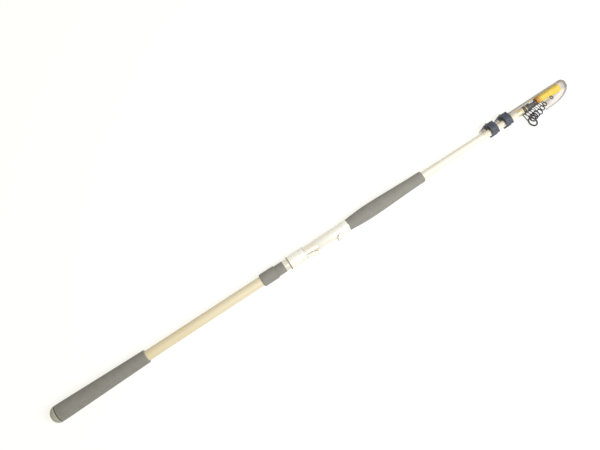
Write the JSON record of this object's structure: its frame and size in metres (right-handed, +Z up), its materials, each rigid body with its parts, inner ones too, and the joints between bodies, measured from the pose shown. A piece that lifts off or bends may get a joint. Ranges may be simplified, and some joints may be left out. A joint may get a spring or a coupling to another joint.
{
  "type": "telescopic fishing rod",
  "caption": "Collapsed telescopic surf rod: tapered blank with foam grips, screw-down reel seat, nested sections with line guides, and a clear strap-on tip cover.",
  "frame": {"origin": "centre of the underside of the lying rod's box, on the surface that it lies on", "axes": "+X along the rod from butt to tip, -Y the side of the reel and the guides, +Z up from the surface"},
  "size_m": [1.1583, 0.0584, 0.033],
  "materials": {
    "cap_rubber": "matte moulded rubber",
    "black_plastic": "moulded",
    "soft_foam": "soft closed-cell foam",
    "trim_black": "satin",
    "eva_foam": "sanded closed-cell foam",
    "blank_lacquer": "lacquered glass and carbon composite",
    "seat_silver": "satin silver",
    "pale_gold": "satin",
    "guide_metal": "gunmetal plated",
    "guide_ceramic": "polished",
    "cover_clear": "clear moulded plastic",
    "strap_rubber": "moulded rubber",
    "rivet_brass": "dull",
    "foam_yellow": "soft foam"
  },
  "bodies": {
    "butt_section": {"butt_blank": "blank_lacquer", "thread_insert": "black_plastic", "rear_grip": "eva_foam", "seat_trim": "eva_foam", "seat_collar": "eva_foam", "seat_pipe": "seat_silver", "seat_arbors": "black_plastic", "fixed_hood": "seat_silver", "front_grip": "eva_foam", "mouth_ferrule": "pale_gold"},
    "cap_ring": {"trim_ring": "trim_black"},
    "butt_cap": {"butt_cap": "cap_rubber", "butt_plug": "black_plastic", "plug_cushion": "soft_foam"},
    "hood": {"moving_hood": "seat_silver"},
    "nut": {"lock_nut": "seat_silver", "nut_ring": "trim_black"},
    "second_section": {"second_blank": "blank_lacquer", "stripper_frame": "guide_metal", "stripper_ring": "guide_ceramic"},
    "third_section": {"third_blank": "blank_lacquer", "third_guide_3_frame": "guide_metal", "third_guide_3_ring": "guide_ceramic"},
    "tip_section": {"tip_blank": "blank_lacquer", "tip_top_frame": "guide_metal", "tip_top_ring": "guide_ceramic"},
    "cover": {"tip_cover": "cover_clear", "cover_pads": "strap_rubber", "rear_strap": "strap_rubber", "front_strap": "strap_rubber", "strap_rivets": "rivet_brass", "tip_foam": "foam_yellow"},
    "third_guide_1": {"third_guide_1_frame": "guide_metal", "third_guide_1_ring": "guide_ceramic"},
    "third_guide_2": {"third_guide_2_frame": "guide_metal", "third_guide_2_ring": "guide_ceramic", "third_guide_2_band": "pale_gold"},
    "tip_guide_1": {"tip_guide_1_frame": "guide_metal", "tip_guide_1_ring": "guide_ceramic"},
    "tip_guide_2": {"tip_guide_2_frame": "guide_metal", "tip_guide_2_ring": "guide_ceramic"},
    "tip_guide_3": {"tip_guide_3_frame": "guide_metal", "tip_guide_3_ring": "guide_ceramic"}
  },
  "joints": [
    {"name": "second_slide", "type": "slide", "parent": "butt_section", "child": "second_section", "axis": [1, 0, 0], "range_m": [0, 0.94]},
    {"name": "third_slide", "type": "slide", "parent": "second_section", "child": "third_section", "axis": [1, 0, 0], "range_m": [0, 0.95]},
    {"name": "tip_slide", "type": "slide", "parent": "third_section", "child": "tip_section", "axis": [1, 0, 0], "range_m": [0, 0.96]},
    {"name": "cover_pull", "type": "slide", "parent": "tip_section", "child": "cover", "axis": [1, 0, 0], "range_m": [0, 0.2]},
    {"name": "nut_turn", "type": "hinge", "parent": "hood", "child": "nut", "pos_m": [-0.05195, 0.00977, 0.0165], "axis": [1, 0, 0], "range_deg": [-1296, 2520]},
    {"name": "hood_slide", "type": "slide", "parent": "butt_section", "child": "hood", "axis": [1, 0, 0], "range_m": [-0.009, 0.0175]},
    {"name": "cap_turn", "type": "hinge", "parent": "cap_ring", "child": "butt_cap", "pos_m": [-0.56995, 0.00977, 0.0165], "axis": [-1, 0, 0], "range_deg": [0, 2880]},
    {"name": "cap_draw", "type": "slide", "parent": "butt_section", "child": "cap_ring", "axis": [-1, 0, 0], "range_m": [0, 0.02]},
    {"name": "third_guide_1_slide", "type": "slide", "parent": "third_section", "child": "third_guide_1", "axis": [1, 0, 0], "range_m": [-0.57, 0]},
    {"name": "third_guide_2_slide", "type": "slide", "parent": "third_section", "child": "third_guide_2", "axis": [1, 0, 0], "range_m": [-0.285, 0]},
    {"name": "tip_guide_1_slide", "type": "slide", "parent": "tip_section", "child": "tip_guide_1", "axis": [1, 0, 0], "range_m": [-0.6336, 0]},
    {"name": "tip_guide_2_slide", "type": "slide", "parent": "tip_section", "child": "tip_guide_2", "axis": [1, 0, 0], "range_m": [-0.4032, 0]},
    {"name": "tip_guide_3_slide", "type": "slide", "parent": "tip_section", "child": "tip_guide_3", "axis": [1, 0, 0], "range_m": [-0.192, 0]}
  ],
  "couplings": [
    {"joint": "hood_slide", "follows": "nut_turn", "m_per_rad": 0.00039789},
    {"joint": "cap_draw", "follows": "cap_turn", "m_per_rad": 0.00039789},
    {"joint": "third_guide_1_slide", "follows": "third_slide", "ratio": -0.6},
    {"joint": "third_guide_2_slide", "follows": "third_slide", "ratio": -0.3},
    {"joint": "tip_guide_1_slide", "follows": "tip_slide", "ratio": -0.66},
    {"joint": "tip_guide_2_slide", "follows": "tip_slide", "ratio": -0.42},
    {"joint": "tip_guide_3_slide", "follows": "tip_slide", "ratio": -0.2}
  ]
}
